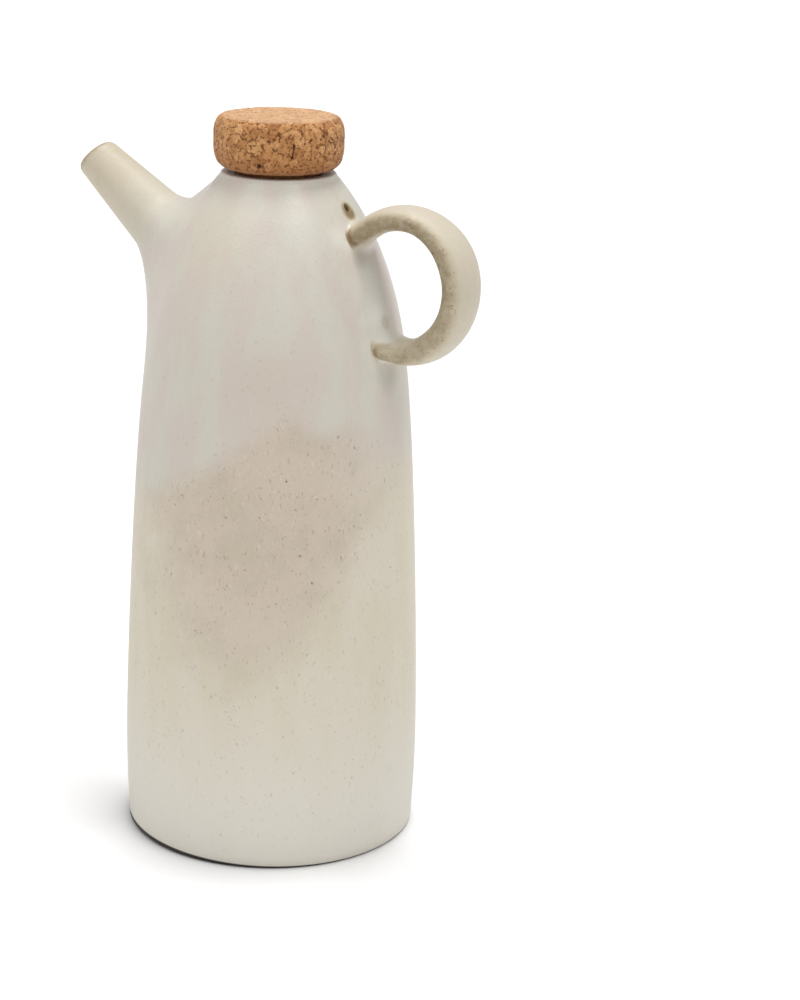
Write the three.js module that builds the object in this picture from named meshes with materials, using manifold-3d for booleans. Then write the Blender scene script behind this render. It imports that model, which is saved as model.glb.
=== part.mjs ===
// Stoneware oil bottle: a thrown body, a pouring spout, a strap handle and a cork stopper.
// Millimetres, +Z up. The origin is the centre of the base, the spout points to -X and the handle to +X.
import * as THREE from "three";
import { mergeVertices } from "three/addons/utils/BufferGeometryUtils.js";
import Module from "manifold-3d";

const wasm = await Module();
wasm.setup();

// Gap left for the slip between clay pieces, and round the cork
const SEAM = 0.3;

// Body wall: radii and heights of the thrown outline
const FOOT_RADIUS = 43.4;
const FOOT_BEVEL = 1;
const FOOT_CURVE = 14;
const BELLY_RADIUS = 45.2;
const BELLY_HEIGHT = 28;
const BELLY_PULL = 20;
const SHOULDER_RADIUS = 37.8;
const SHOULDER_HEIGHT = 157;
const SHOULDER_LEAN = 0.19;
const SHOULDER_PULL_DOWN = 25;
const SHOULDER_PULL_UP = 17;
const RIM_RADIUS = 17.2;
const RIM_HEIGHT = 203.8;
const RIM_LEAN = 0.74;
const RIM_PULL = 14;
const RIM_ROUND = 0.8;

// Body inside
const WALL = 4.5;
const FLOOR = 6;
const FLOOR_CORNER = 7;
const MOUTH_RADIUS = 13;
const MOUTH_DEPTH = 6;

// Holes are cut this far in from the outside of the wall, to come out on its inside at a slant too
const DRILL_DEPTH = 2 * WALL;

// Spout: its axis rises from the bottle's axis, and lengths along it are measured from the wall
const SPOUT_RISE = THREE.MathUtils.degToRad(38.5);
const SPOUT_AXIS_DROP = 52.8;
const SPOUT_LENGTH = 40.6;
const SPOUT_TIP_RADIUS = 6.2;
const SPOUT_TIP_BORE = 4;
const SPOUT_NECK_RADIUS = 10;
const SPOUT_NECK_OUT = 15;
const SPOUT_ROOT_BORE = 7.5;
const SPOUT_FLARE_RADIUS = 21;
const SPOUT_FLARE_IN = 14;
const SPOUT_SAG = 6;

// Handle: a half ellipse of strap, with a stretch up from the wall and one back to it, hung below the rim
const HANDLE_MID_DROP = 29;
const HANDLE_HALF_HEIGHT = 19;
const HANDLE_REACH = 27.4;
const HANDLE_BOW = 18;
const HANDLE_ROOT_DROP = 16.8;
const HANDLE_FOOT_DROP = 0.9;
const HANDLE_SINK = 3.5;
const HANDLE_TOP_THICK = 7.2;
const HANDLE_MID_THICK = 9;
const HANDLE_FOOT_THICK = 6.8;
const HANDLE_TOP_WIDTH = 13.5;
const HANDLE_MID_WIDTH = 17;
const HANDLE_FOOT_WIDTH = 18;
const HANDLE_FLARE = 0.8;
const HANDLE_FLARE_LENGTH = 8;

// Air hole above the handle, square to the wall
const VENT_RADIUS = 1.5;
const VENT_RISE = 8.3;

// Cork: a barrel-edged head on a tapered shank
const CORK_HEAD_RADIUS = 19.3;
const CORK_HEAD_HEIGHT = 15.8;
const CORK_SEAT_RADIUS = 16.8;
const CORK_LOWER_ROUND = 5.5;
const CORK_CROWN_RADIUS = 16;
const CORK_UPPER_ROUND = 4.8;
const CORK_SHANK_LENGTH = 20;
const CORK_SHANK_TAPER = 1.2;
const CORK_SHANK_BEVEL = 1;

// Facets
const BODY_SIDES = 48;
const SPOUT_SIDES = 32;
const CORK_SIDES = 40;
const VENT_SIDES = 16;
const STRAP_SIDES = 18;
const STRAP_STEPS = 28;
const FOOT_STEPS = 3;
const WALL_STEPS = 7;
const SHOULDER_STEPS = 9;
const RIM_STEPS = 2;
const CORNER_STEPS = 4;
const FLARE_STEPS = 8;
const LIP_STEPS = 6;
const CORK_ROUND_STEPS = 5;

// Vertices closer than this are one, and a search by halving ends after this many steps
const MERGE = 1e-4;
const HALVINGS = 30;

const point = (radius, height) => new THREE.Vector2(radius, height);

// A closed geometry as a solid that can be cut.
function solid(geometry) {
  geometry.deleteAttribute("normal");
  geometry.deleteAttribute("uv");
  const merged = mergeVertices(geometry, MERGE);
  return new wasm.Manifold(
    new wasm.Mesh({
      numProp: 3,
      vertProperties: merged.attributes.position.array,
      triVerts: merged.index.array,
    }),
  );
}

// A solid as a named mesh.
function piece(name, shape, look) {
  const { vertProperties, triVerts } = shape.getMesh();
  const geometry = new THREE.BufferGeometry();
  geometry.setAttribute("position", new THREE.BufferAttribute(vertProperties, 3));
  geometry.setIndex(new THREE.BufferAttribute(triVerts, 1));
  geometry.computeVertexNormals();
  const mesh = new THREE.Mesh(geometry, new THREE.MeshStandardMaterial(look));
  mesh.name = name;
  return mesh;
}

// A profile of radii and heights turned round the Z axis.
function revolve(profile, sides) {
  return new THREE.LatheGeometry(profile, sides).rotateX(Math.PI / 2);
}

// The outside of the wall from the foot's bevel to the rim, going up.
function outerWall() {
  const foot = point(FOOT_RADIUS + FOOT_BEVEL, FOOT_BEVEL);
  const belly = point(BELLY_RADIUS, BELLY_HEIGHT);
  const shoulder = point(SHOULDER_RADIUS, SHOULDER_HEIGHT);
  const rim = point(RIM_RADIUS, RIM_HEIGHT - RIM_ROUND);
  const lower = new THREE.QuadraticBezierCurve(foot, point(BELLY_RADIUS, FOOT_CURVE), belly);
  const middle = new THREE.CubicBezierCurve(
    belly,
    point(BELLY_RADIUS, BELLY_HEIGHT + BELLY_PULL),
    point(SHOULDER_RADIUS + SHOULDER_LEAN * SHOULDER_PULL_DOWN, SHOULDER_HEIGHT - SHOULDER_PULL_DOWN),
    shoulder,
  );
  const upper = new THREE.CubicBezierCurve(
    shoulder,
    point(SHOULDER_RADIUS - SHOULDER_LEAN * SHOULDER_PULL_UP, SHOULDER_HEIGHT + SHOULDER_PULL_UP),
    point(RIM_RADIUS + RIM_LEAN * RIM_PULL, rim.y - RIM_PULL),
    rim,
  );
  return [
    ...lower.getPoints(FOOT_STEPS),
    ...middle.getPoints(WALL_STEPS).slice(1),
    ...upper.getPoints(SHOULDER_STEPS).slice(1),
  ];
}

const WALL_OUTLINE = outerWall();

// The wall's outline moved out by a distance, or in when it is negative.
function offset(outline, distance) {
  return outline.map((here, i) => {
    const before = outline[Math.max(i - 1, 0)];
    const after = outline[Math.min(i + 1, outline.length - 1)];
    const along = after.clone().sub(before).normalize();
    return point(here.x + along.y * distance, here.y - along.x * distance);
  });
}

// The outside radius of the wall at a height.
function radiusAt(height) {
  const last = WALL_OUTLINE.length - 1;
  const found = WALL_OUTLINE.findIndex((p) => p.y >= height);
  const i = THREE.MathUtils.clamp(found < 0 ? last : found, 1, last);
  const [low, high] = [WALL_OUTLINE[i - 1], WALL_OUTLINE[i]];
  return THREE.MathUtils.mapLinear(height, low.y, high.y, low.x, high.x);
}

// The wall as a full solid, a seam larger: what is luted on is cut back to it.
function grownWall() {
  const skin = offset(WALL_OUTLINE, SEAM);
  const [foot, rim] = [skin[0], skin[skin.length - 1]];
  return solid(revolve([point(0, foot.y), ...skin, point(0, rim.y)], BODY_SIDES));
}

// The inside of the body, going down from the mouth to the centre of the floor.
function innerWall() {
  const seat = RIM_HEIGHT - MOUTH_DEPTH;
  const side = offset(WALL_OUTLINE, -WALL)
    .filter((p) => p.y > FLOOR + FLOOR_CORNER && p.y < seat && p.x > MOUTH_RADIUS)
    .reverse();
  const low = side[side.length - 1].x;
  const corner = new THREE.EllipseCurve(
    low - FLOOR_CORNER,
    FLOOR + FLOOR_CORNER,
    FLOOR_CORNER,
    FLOOR_CORNER,
    0,
    -Math.PI / 2,
    true,
  );
  return [point(MOUTH_RADIUS, seat), ...side, ...corner.getPoints(CORNER_STEPS), point(0, FLOOR)];
}

// The rounded rim, from the outside over the top and into the mouth.
function rimRound() {
  const top = RIM_HEIGHT;
  const outside = new THREE.QuadraticBezierCurve(
    point(RIM_RADIUS, top - RIM_ROUND),
    point(RIM_RADIUS, top),
    point(RIM_RADIUS - RIM_ROUND, top),
  );
  const inside = new THREE.QuadraticBezierCurve(
    point(MOUTH_RADIUS + RIM_ROUND, top),
    point(MOUTH_RADIUS, top),
    point(MOUTH_RADIUS, top - RIM_ROUND),
  );
  return [...outside.getPoints(RIM_STEPS).slice(1), ...inside.getPoints(RIM_STEPS)];
}

// Turns what stands on the Z axis so that it runs along the spout's axis.
function alongSpout(geometry) {
  return geometry.rotateY(SPOUT_RISE - Math.PI / 2).translate(0, 0, RIM_HEIGHT - SPOUT_AXIS_DROP);
}

// How far along the spout's axis the outside of the wall is from the bottle's axis.
function spoutEntry() {
  let [inside, outside] = [0, BELLY_RADIUS / Math.cos(SPOUT_RISE)];
  for (let i = 0; i < HALVINGS; i++) {
    const middle = (inside + outside) / 2;
    const height = RIM_HEIGHT - SPOUT_AXIS_DROP + middle * Math.sin(SPOUT_RISE);
    if (middle * Math.cos(SPOUT_RISE) < radiusAt(height)) inside = middle;
    else outside = middle;
  }
  return inside;
}

// The bore of the spout: wide through the wall and the flare, then narrowing to the tip.
function spoutBore() {
  const entry = spoutEntry();
  const inner = entry - DRILL_DEPTH - SPOUT_ROOT_BORE;
  const outer = entry + SPOUT_LENGTH;
  const profile = [
    point(0, inner),
    point(SPOUT_ROOT_BORE, inner),
    point(SPOUT_ROOT_BORE, entry),
    point(SPOUT_TIP_BORE, outer - lipRadius()),
    point(SPOUT_TIP_BORE, outer),
    point(0, outer),
  ];
  return solid(alongSpout(revolve(profile, SPOUT_SIDES)));
}

// The air hole, square to the wall in the handle's plane.
function ventHole() {
  const height = RIM_HEIGHT - HANDLE_ROOT_DROP + VENT_RISE;
  const [below, above] = [radiusAt(height - VENT_RADIUS), radiusAt(height + VENT_RADIUS)];
  const lean = Math.atan((below - above) / (2 * VENT_RADIUS));
  const drill = new THREE.CylinderGeometry(VENT_RADIUS, VENT_RADIUS, 2 * DRILL_DEPTH, VENT_SIDES);
  drill.rotateZ(Math.PI / 2).rotateY(-lean).translate(radiusAt(height), 0, height);
  return solid(drill);
}

function makeBody() {
  const profile = [
    point(0, 0),
    point(FOOT_RADIUS, 0),
    ...WALL_OUTLINE,
    ...rimRound(),
    ...innerWall(),
  ];
  return solid(revolve(profile, BODY_SIDES)).subtract(spoutBore()).subtract(ventHole());
}

// The round of the spout's lip is half the thickness of its wall at the tip.
function lipRadius() {
  return (SPOUT_TIP_RADIUS - SPOUT_TIP_BORE) / 2;
}

// Lets the flare of a spout that stands on the Z axis hang towards -X, which is down once it is tilted.
function sag(geometry, neck, root) {
  const places = geometry.attributes.position;
  for (let i = 0; i < places.count; i++) {
    const share = Math.max(0, (neck - places.getZ(i)) / (neck - root));
    places.setX(i, places.getX(i) - SPOUT_SAG * share ** 2);
  }
  return geometry;
}

// A tapered tube with a round lip, spreading like a trumpet where it is luted to the wall.
function makeSpout() {
  const entry = spoutEntry();
  const neck = entry + SPOUT_NECK_OUT;
  const root = entry - SPOUT_FLARE_IN;
  const lipHeight = entry + SPOUT_LENGTH - lipRadius();
  const lipMiddle = SPOUT_TIP_BORE + lipRadius();
  const lip = new THREE.EllipseCurve(lipMiddle, lipHeight, lipRadius(), lipRadius(), 0, Math.PI);
  const taper = (SPOUT_NECK_RADIUS - SPOUT_TIP_RADIUS) / (lipHeight - neck);
  const bend = (neck + root) / 2;
  const flare = new THREE.QuadraticBezierCurve(
    point(SPOUT_FLARE_RADIUS, root),
    point(SPOUT_NECK_RADIUS + taper * (neck - bend), bend),
    point(SPOUT_NECK_RADIUS, neck),
  );
  const profile = [
    point(0, root),
    ...flare.getPoints(FLARE_STEPS),
    ...lip.getPoints(LIP_STEPS),
    point(0, lipHeight),
  ];
  const tube = alongSpout(sag(revolve(profile, SPOUT_SIDES), neck, root));
  return solid(tube).subtract(spoutBore()).subtract(grownWall());
}

// The middle line of the strap in the XZ plane, from its upper root to its foot.
function strapPath() {
  const centre = RIM_HEIGHT - HANDLE_MID_DROP;
  const middle = radiusAt(centre) + HANDLE_REACH - HANDLE_BOW;
  const crest = centre + HANDLE_HALF_HEIGHT;
  const foot = centre - HANDLE_HALF_HEIGHT - HANDLE_FOOT_DROP;
  const start = RIM_HEIGHT - HANDLE_ROOT_DROP;
  const root = radiusAt(start);
  const path = new THREE.Path();
  path.moveTo(root - HANDLE_SINK, start - HANDLE_SINK / 2);
  path.quadraticCurveTo((root + middle) / 2 - HANDLE_SINK, crest, middle, crest);
  path.absellipse(
    middle,
    centre,
    HANDLE_BOW,
    HANDLE_HALF_HEIGHT,
    Math.PI / 2,
    -Math.PI / 2,
    true,
  );
  path.lineTo(radiusAt(foot) - HANDLE_SINK, foot);
  return path;
}

// A value that runs smoothly from the upper root over the middle to the foot.
function alongStrap(u, top, middle, foot) {
  const rising = THREE.MathUtils.smoothstep(u, 0, 0.5);
  const falling = THREE.MathUtils.smoothstep(u, 0.5, 1);
  return top + (middle - top) * rising + (foot - middle) * falling;
}

// One oval ring of points round the strap's middle line.
function strapRing(path, u, length) {
  const centre = path.getPointAt(u);
  const along = path.getTangentAt(u);
  const toEnd = Math.min(u, 1 - u) * length;
  const flare = HANDLE_FLARE * (1 - THREE.MathUtils.smoothstep(toEnd, 0, HANDLE_FLARE_LENGTH));
  const thick = flare + alongStrap(u, HANDLE_TOP_THICK, HANDLE_MID_THICK, HANDLE_FOOT_THICK) / 2;
  const wide = flare + alongStrap(u, HANDLE_TOP_WIDTH, HANDLE_MID_WIDTH, HANDLE_FOOT_WIDTH) / 2;
  return Array.from({ length: STRAP_SIDES }, (_, k) => {
    const angle = (2 * Math.PI * k) / STRAP_SIDES;
    const lift = thick * Math.cos(angle);
    return [centre.x - along.y * lift, wide * Math.sin(angle), centre.y + along.x * lift];
  });
}

// Rings of points joined into one closed skin, with a flat cap at each end.
function loft(rings) {
  const sides = rings[0].length;
  const faces = [];
  for (let i = 0; i + 1 < rings.length; i++) {
    for (let k = 0; k < sides; k++) {
      const [a, b] = [i * sides + k, i * sides + ((k + 1) % sides)];
      faces.push(a, b + sides, b, a, a + sides, b + sides);
    }
  }
  const last = (rings.length - 1) * sides;
  for (let k = 1; k + 1 < sides; k++) {
    faces.push(0, k, k + 1);
    faces.push(last, last + k + 1, last + k);
  }
  const geometry = new THREE.BufferGeometry();
  geometry.setAttribute("position", new THREE.Float32BufferAttribute(rings.flat(2), 3));
  geometry.setIndex(faces);
  return geometry;
}

function makeHandle() {
  const path = strapPath();
  const length = path.getLength();
  const rings = Array.from({ length: STRAP_STEPS + 1 }, (_, i) => strapRing(path, i / STRAP_STEPS, length));
  return solid(loft(rings)).subtract(grownWall());
}

// One turned cork: shank, seat on the rim, and a head rounded above and below.
function makeStopper() {
  const seat = RIM_HEIGHT + SEAM;
  const top = seat + CORK_HEAD_HEIGHT;
  const low = seat - CORK_SHANK_LENGTH;
  const shank = MOUTH_RADIUS - SEAM;
  const lower = new THREE.EllipseCurve(
    CORK_SEAT_RADIUS,
    seat + CORK_LOWER_ROUND,
    CORK_HEAD_RADIUS - CORK_SEAT_RADIUS,
    CORK_LOWER_ROUND,
    -Math.PI / 2,
    0,
  );
  const upper = new THREE.EllipseCurve(
    CORK_CROWN_RADIUS,
    top - CORK_UPPER_ROUND,
    CORK_HEAD_RADIUS - CORK_CROWN_RADIUS,
    CORK_UPPER_ROUND,
    0,
    Math.PI / 2,
  );
  const profile = [
    point(0, low),
    point(shank - CORK_SHANK_TAPER - CORK_SHANK_BEVEL, low),
    point(shank - CORK_SHANK_TAPER, low + CORK_SHANK_BEVEL),
    point(shank, seat - MOUTH_DEPTH),
    point(shank, seat),
    ...lower.getPoints(CORK_ROUND_STEPS),
    ...upper.getPoints(CORK_ROUND_STEPS),
    point(0, top),
  ];
  return solid(revolve(profile, CORK_SIDES));
}

const glaze = { color: "#d3cdbf", roughness: 0.5, metalness: 0 };
const ochreGlaze = { color: "#cabb9f", roughness: 0.5, metalness: 0 };
const cork = { color: "#b98a5c", roughness: 0.9, metalness: 0 };

const bottle = new THREE.Group();
bottle.add(piece("body", makeBody(), glaze));
bottle.add(piece("spout", makeSpout(), glaze));
bottle.add(piece("handle", makeHandle(), ochreGlaze));
bottle.add(piece("cork_stopper", makeStopper(), cork));

export default bottle;
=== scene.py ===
"""Looks of a stoneware oil bottle with a cork stopper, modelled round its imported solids.

Sizes are in millimetres and become metres when a mesh is made. +Z is up, the spout points to -X and
the handle to +X, and the origin is the centre of the base.
"""

import logging
import math
from collections.abc import Sequence
from dataclasses import dataclass, field
from enum import Enum

import bmesh
import bpy
import numpy as np
from mathutils import Matrix, Vector, noise
from mathutils.kdtree import KDTree


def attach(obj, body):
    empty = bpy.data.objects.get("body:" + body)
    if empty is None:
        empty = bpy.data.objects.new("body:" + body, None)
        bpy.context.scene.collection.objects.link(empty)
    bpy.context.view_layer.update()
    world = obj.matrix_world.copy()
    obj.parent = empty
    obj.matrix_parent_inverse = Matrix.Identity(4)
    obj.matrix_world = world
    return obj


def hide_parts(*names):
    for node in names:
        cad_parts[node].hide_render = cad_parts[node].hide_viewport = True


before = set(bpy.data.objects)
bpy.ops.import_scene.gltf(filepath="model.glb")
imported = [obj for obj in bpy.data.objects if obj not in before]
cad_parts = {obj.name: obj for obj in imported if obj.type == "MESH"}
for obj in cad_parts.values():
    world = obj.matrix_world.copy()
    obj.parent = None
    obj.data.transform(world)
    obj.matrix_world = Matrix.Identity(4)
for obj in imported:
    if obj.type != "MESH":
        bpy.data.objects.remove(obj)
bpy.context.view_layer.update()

log = logging.getLogger("oil_bottle")

# A millimetre in metres.
MM = 0.001
# How far the camera stands turned round the bottle, from a look along +Y.
FRONT = math.radians(29)
# A distance from the bottle's axis that is outside its wall.
OUTSIDE = 60.0
# The attributes of the meshes that the finishes read.
THIN = "thin"
GAP = "gap"
# The sockets of a Mix node for colours, and settings that many nodes share.
SHARE, UNDER, OVER = 0, 6, 7
COLOURS = {"data_type": "RGBA"}
SOFT = {"interpolation_type": "SMOOTHSTEP"}

Sides = tuple[float, ...]
Pairs = tuple[tuple[float, float], ...]


class Ending(Enum):
    """How a skin of rings is closed."""

    CAPPED = "a face on each end"
    JOINED = "the last ring joined to the first"


@dataclass(frozen=True)
class Spot:
    """A point of a skin, and how thin the glaze lies on it."""

    place: Vector
    thin: float = 0.0


def linear(colour: str) -> tuple[float, float, float, float]:
    """Turns an sRGB hex value into linear red, green, blue and alpha.

    Args:
        colour: Six hex digits.

    Returns:
        The colour for a shader's socket.
    """
    parts = [int(colour[i : i + 2], 16) / 255 for i in (0, 2, 4)]
    red, green, blue = [p / 12.92 if p <= 0.04045 else ((p + 0.055) / 1.055) ** 2.4 for p in parts]
    return red, green, blue, 1.0


def add_node(
    tree: bpy.types.NodeTree, kind: str, inputs: dict | Sequence = (), **settings: object
) -> bpy.types.Node:
    """Adds a node with its settings, values and links.

    Args:
        tree: The node tree.
        kind: The node's type, without its usual beginning.
        inputs: What its sockets get, in their order, or by name or number: a value, a socket, or a node for
            that node's first output. Map Range takes a value, the two ends of its range, and what it gives
            at each end, which is 0 and 1 if nothing is said.
        settings: The node's own properties.

    Returns:
        The new node.
    """
    node = tree.nodes.new("ShaderNode" + kind)
    for key, value in settings.items():
        setattr(node, key, value)
    for key, value in inputs.items() if isinstance(inputs, dict) else enumerate(inputs):
        if isinstance(value, bpy.types.Node):
            value = next(s for s in value.outputs if s.enabled)
        if isinstance(value, bpy.types.NodeSocket):
            tree.links.new(value, node.inputs[key])
        else:
            node.inputs[key].default_value = value
    return node


def start_material(name: str) -> tuple[bpy.types.Material, bpy.types.Node]:
    """Starts a material that knows its place on the bottle.

    Args:
        name: The material's name.

    Returns:
        The material, and the node that gives the place in millimetres.
    """
    made = bpy.data.materials.new(name)
    made.use_nodes = True
    tree = made.node_tree
    tree.nodes.clear()
    metres = add_node(tree, "TexCoord").outputs["Object"]
    return made, add_node(tree, "VectorMath", {"Vector": metres, "Scale": 1 / MM}, operation="SCALE")


def mix(start: float, end: float, share: float) -> float:
    """Goes from one value to another."""
    return start + (end - start) * share


def smooth(value: float, low: float, high: float) -> float:
    """Goes from 0 to 1 between two values, with no corner at either."""
    share = min(max((value - low) / (high - low), 0.0), 1.0)
    return share * share * (3 - 2 * share)


def stations(values: Sequence[float], share: float) -> float:
    """Goes through evenly spaced values with no corners.

    Args:
        values: The values.
        share: How far through them, from 0 to 1.

    Returns:
        The value there.
    """
    place = share * (len(values) - 1)
    i = min(int(place), len(values) - 2)
    return mix(values[i], values[i + 1], smooth(place - i, 0, 1))


def bezier(points: Sequence[Vector], steps: int) -> list[Vector]:
    """Points along a Bezier curve.

    Args:
        points: Its control points.
        steps: How many stretches it is cut into.

    Returns:
        The points, both ends included.
    """
    made = []
    for i in range(steps + 1):
        left = list(points)
        while len(left) > 1:
            left = [a.lerp(b, i / steps) for a, b in zip(left, left[1:])]
        made.append(left[0])
    return made


def arc(centre: Vector, wide: float, high: float, turn: tuple[float, float], steps: int) -> list[Vector]:
    """Points along an ellipse in the plane of a profile.

    Args:
        centre: Its middle.
        wide: Its half width.
        high: Its half height.
        turn: The angles of both ends in degrees, from the right and anticlockwise.
        steps: How many stretches it is cut into.

    Returns:
        The points, both ends included.
    """
    angles = [math.radians(mix(turn[0], turn[1], i / steps)) for i in range(steps + 1)]
    return [centre + Vector((wide * math.cos(a), high * math.sin(a), 0)) for a in angles]


def extrude_rings(name: str, rings: Sequence[Sequence[Spot]], ending: Ending) -> bpy.types.Object:
    """Extrudes a circle from ring to ring into a closed skin.

    Args:
        name: The piece's name.
        rings: The spots of each ring, in order.
        ending: How the skin is closed.

    Returns:
        The new object, at the origin.
    """
    bpy.ops.object.select_all(action="DESELECT")
    bpy.ops.mesh.primitive_circle_add(vertices=len(rings[0]), enter_editmode=True)
    piece = bpy.context.object
    piece.name = piece.data.name = name
    mesh = bmesh.from_edit_mesh(piece.data)
    mesh.verts.layers.float.new(THIN)
    turn = mesh.verts.layers.int.new("turn")
    for i, vert in enumerate(mesh.verts):
        vert[turn] = i
    for i, ring in enumerate(rings):
        if i:
            bpy.ops.mesh.extrude_region_move()
        mesh = bmesh.from_edit_mesh(piece.data)
        turn = mesh.verts.layers.int["turn"]
        thin = mesh.verts.layers.float[THIN]
        for vert in mesh.verts:
            if vert.select:
                vert.co = ring[vert[turn]].place * MM
                vert[thin] = ring[vert[turn]].thin
        bmesh.update_edit_mesh(piece.data)
    bpy.ops.mesh.select_all(action="DESELECT")
    if ending is Ending.JOINED:
        bpy.ops.mesh.select_non_manifold()
        bpy.ops.mesh.bridge_edge_loops()
    else:
        bpy.ops.mesh.select_all(action="SELECT")
        bpy.ops.mesh.fill_holes(sides=0)
    bpy.ops.mesh.select_all(action="SELECT")
    bpy.ops.mesh.normals_make_consistent(inside=False)
    bpy.ops.object.mode_set(mode="OBJECT")
    piece.data.attributes.remove(piece.data.attributes["turn"])
    bpy.ops.object.shade_smooth()
    return piece


def turned(profile: Sequence[Vector], sides: int) -> list[list[Spot]]:
    """Rings of a turned shape.

    Args:
        profile: Its outline, as vectors of radius, height and thinness of the glaze.
        sides: The points of each ring.

    Returns:
        One ring for each point of the outline.
    """
    angles = [2 * math.pi * k / sides for k in range(sides)]
    return [
        [Spot(Vector((p.x * math.cos(a), p.x * math.sin(a), p.y)), p.z) for a in angles] for p in profile
    ]


def finish_with(piece: bpy.types.Object, kind: str, **settings: object) -> None:
    """Adds a modifier to a piece and applies it.

    Args:
        piece: The object.
        kind: The modifier's type.
        settings: The modifier's own properties.
    """
    bpy.ops.object.select_all(action="DESELECT")
    piece.select_set(True)
    bpy.context.view_layer.objects.active = piece
    bpy.ops.object.modifier_add(type=kind)
    modifier = piece.modifiers[-1]
    for key, value in settings.items():
        setattr(modifier, key, value)
    bpy.ops.object.modifier_apply(modifier=modifier.name)


def cut(piece: bpy.types.Object, drill: bpy.types.Object) -> None:
    """Cuts a hole in a piece with a drill, and takes the drill away.

    Args:
        piece: The object that gets the hole.
        drill: The object that is cut out of it.
    """
    finish_with(piece, "BOOLEAN", operation="DIFFERENCE", solver="EXACT", object=drill)
    bpy.ops.object.select_all(action="DESELECT")
    drill.select_set(True)
    bpy.ops.object.delete()


class Part:
    """What the pieces of the bottle have in common."""

    @staticmethod
    def dress(piece: bpy.types.Object, finish: bpy.types.Material) -> None:
        """Gives a built piece its one finish."""
        piece.data.materials.clear()
        piece.data.materials.append(finish)


@dataclass
class ThrownWall:
    """The outside of the thrown body, as an outline of radii over heights."""

    foot_radius: float = 43.4
    foot_bevel: float = 1.0
    foot_curve: float = 14.0
    belly_radius: float = 45.2
    belly_height: float = 28.0
    belly_pull: float = 20.0
    shoulder_radius: float = 37.8
    shoulder_height: float = 157.0
    shoulder_lean: float = 0.19
    shoulder_pull_down: float = 25.0
    shoulder_pull_up: float = 17.0
    rim_radius: float = 17.2
    rim_height: float = 203.8
    rim_lean: float = 0.86
    rim_pull: float = 13.0
    rim_round: float = 0.8
    lower_steps: int = 12
    middle_steps: int = 50
    upper_steps: int = 40
    halvings: int = 40
    drops: int = 6
    outline: list[Vector] = field(init=False)

    def __post_init__(self) -> None:
        """Draws the outline once."""
        foot = Vector((self.foot_radius + self.foot_bevel, self.foot_bevel, 0))
        curve = Vector((self.belly_radius, self.foot_curve, 0))
        belly = Vector((self.belly_radius, self.belly_height, 0))
        rise = Vector((0, self.belly_pull, 0))
        shoulder = Vector((self.shoulder_radius, self.shoulder_height, 0))
        lean = Vector((-self.shoulder_lean, 1, 0))
        down, up = lean * self.shoulder_pull_down, lean * self.shoulder_pull_up
        rim = Vector((self.rim_radius, self.rim_height - self.rim_round, 0))
        pull = Vector((self.rim_lean, -1, 0)) * self.rim_pull
        lower = bezier([foot, curve, belly], self.lower_steps)
        middle = bezier([belly, belly + rise, shoulder - down, shoulder], self.middle_steps)
        upper = bezier([shoulder, shoulder + up, rim + pull, rim], self.upper_steps)
        self.outline = lower + middle[1:] + upper[1:]

    def radius(self, height: float) -> float:
        """The radius at a height."""
        return float(np.interp(height, [p.y for p in self.outline], [p.x for p in self.outline]))

    def normal(self, place: Vector) -> Vector:
        """Finds the outward direction at a place on the wall.

        Args:
            place: The place.

        Returns:
            The direction, of length 1.
        """
        step = 0.5
        slope = (self.radius(place.z - step) - self.radius(place.z + step)) / (2 * step)
        flat = Vector((place.x, place.y, 0)).normalized()
        return (flat + Vector((0, 0, slope))).normalized()

    def spot(self, turn: float, height: float) -> Vector:
        """The place on the wall at a turn in degrees from the handle and at a height."""
        radius, angle = self.radius(height), math.radians(turn)
        return Vector((radius * math.cos(angle), radius * math.sin(angle), height))

    def drop(self, place: Vector) -> Vector:
        """Drops a place onto the wall.

        Args:
            place: A place near the wall.

        Returns:
            The nearest place on the wall.
        """
        for _ in range(self.drops):
            normal = self.normal(place)
            out = math.hypot(place.x, place.y) - self.radius(place.z)
            place = place - normal * out * math.hypot(normal.x, normal.y)
        return place

    def hit(self, start: Vector, along: Vector) -> Vector:
        """Finds where a line from outside meets the wall.

        Args:
            start: A place outside the wall.
            along: The line's direction, inwards.

        Returns:
            The place on the wall.
        """
        near, far = 0.0, OUTSIDE
        for _ in range(self.halvings):
            half = (near + far) / 2
            place = start + along * half
            if math.hypot(place.x, place.y) > self.radius(place.z):
                near = half
            else:
                far = half
        return start + along * near


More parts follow.
